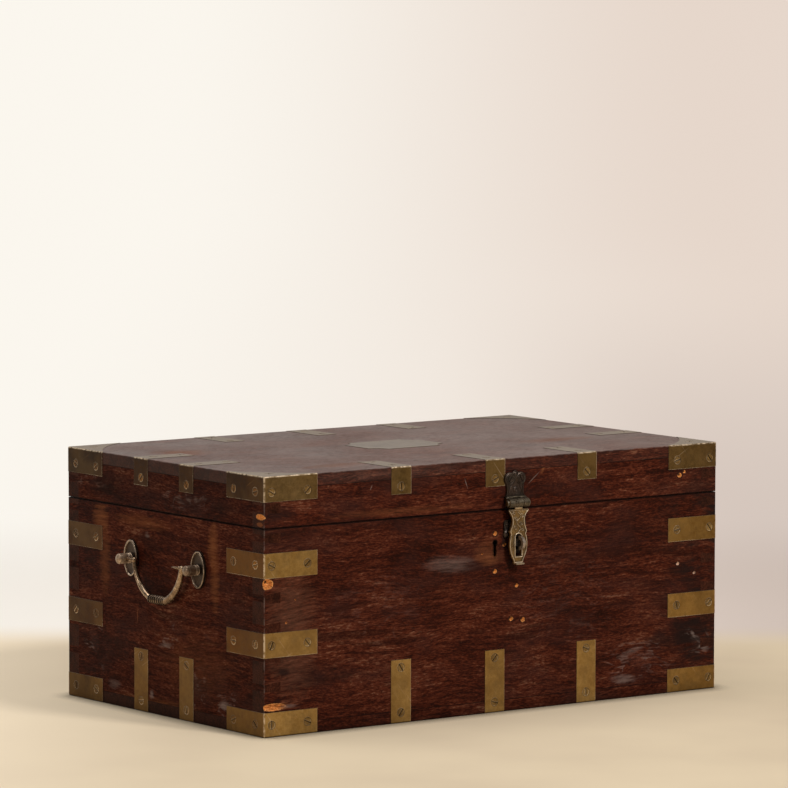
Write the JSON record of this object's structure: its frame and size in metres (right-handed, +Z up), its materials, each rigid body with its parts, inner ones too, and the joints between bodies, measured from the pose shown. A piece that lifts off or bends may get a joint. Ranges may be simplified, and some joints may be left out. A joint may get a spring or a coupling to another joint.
{
  "type": "lidded storage chest",
  "caption": "Low rectangular wooden chest with a hinged lid, brass corner straps, side lifting handles, a box lock and a padlock hasp.",
  "frame": {"origin": "centre of the chest's flat underside, on the surface that it stands on", "axes": "+Z up, +X to the right of someone facing the hasp, along the chest's length, -Y out of the front"},
  "size_m": [0.6224, 0.3823, 0.2623],
  "materials": {
    "rosewood": "dark red-brown, waxed and worn",
    "strap_brass": "aged, olive-gold",
    "plate_brass": "aged, grey-green",
    "screw_brass": "aged, slotted heads",
    "fitting_brass": "cast and aged",
    "hinge_brass": "aged",
    "lock_iron": "blackened",
    "lock_steel": "dull"
  },
  "bodies": {
    "chest": {"bottom_board": "rosewood", "front_board": "rosewood", "back_board": "rosewood", "left_end_board": "rosewood", "right_end_board": "rosewood", "front_left_bottom_strap": "strap_brass", "front_left_middle_strap": "strap_brass", "front_left_upper_strap": "strap_brass", "front_right_bottom_strap": "strap_brass", "front_right_middle_strap": "strap_brass", "front_right_upper_strap": "strap_brass", "back_left_bottom_strap": "strap_brass", "back_left_middle_strap": "strap_brass", "back_left_upper_strap": "strap_brass", "back_right_bottom_strap": "strap_brass", "back_right_middle_strap": "strap_brass", "back_right_upper_strap": "strap_brass", "front_foot_straps": "strap_brass", "back_foot_straps": "strap_brass", "left_foot_straps": "strap_brass", "right_foot_straps": "strap_brass", "body_strap_screws": "screw_brass", "body_fitting_screws": "screw_brass", "hasp_staple": "fitting_brass", "lock_case": "lock_iron", "left_handle_front_post": "fitting_brass", "left_handle_back_post": "fitting_brass", "right_handle_front_post": "fitting_brass", "right_handle_back_post": "fitting_brass", "handle_screws": "screw_brass", "left_hinge_body_leaf": "hinge_brass", "right_hinge_body_leaf": "hinge_brass", "hinge_pins": "hinge_brass"},
    "lid": {"lid_top_board": "rosewood", "lid_front_rail": "rosewood", "lid_back_rail": "rosewood", "lid_left_rail": "rosewood", "lid_right_rail": "rosewood", "lid_front_left_cap": "strap_brass", "lid_front_right_cap": "strap_brass", "lid_back_left_cap": "strap_brass", "lid_back_right_cap": "strap_brass", "lid_front_straps": "strap_brass", "lid_back_straps": "strap_brass", "lid_left_straps": "strap_brass", "lid_right_straps": "strap_brass", "lid_strap_screws": "screw_brass", "lid_fitting_screws": "screw_brass", "lid_name_plate": "plate_brass", "name_plate_pins": "plate_brass", "hasp_lid_plate": "fitting_brass", "hasp_pin": "fitting_brass", "lock_link_plate": "lock_steel", "left_hinge_lid_leaf": "hinge_brass", "right_hinge_lid_leaf": "hinge_brass"},
    "hasp": {"hasp_arm": "fitting_brass"},
    "left_bail": {"left_handle_bail": "fitting_brass"},
    "right_bail": {"right_handle_bail": "fitting_brass"},
    "bolt": {"lock_bolt": "lock_steel"}
  },
  "joints": [
    {"name": "lid_hinge", "type": "hinge", "parent": "chest", "child": "lid", "pos_m": [0, 0.1822, 0.2097], "axis": [-1, 0, 0], "range_deg": [0, 100]},
    {"name": "hasp_swing", "type": "hinge", "parent": "lid", "child": "hasp", "pos_m": [0.0223, -0.184, 0.216], "axis": [-1, 0, 0], "range_deg": [-3, 178]},
    {"name": "left_handle_swing", "type": "hinge", "parent": "chest", "child": "left_bail", "pos_m": [-0.3014, -0.0035, 0.1575], "axis": [0, 1, 0], "range_deg": [-6, 186]},
    {"name": "right_handle_swing", "type": "hinge", "parent": "chest", "child": "right_bail", "pos_m": [0.3014, -0.0035, 0.1575], "axis": [0, -1, 0], "range_deg": [-6, 186]},
    {"name": "lock_bolt_slide", "type": "slide", "parent": "chest", "child": "bolt", "axis": [1, 0, 0], "range_m": [0, 0.008]}
  ]
}
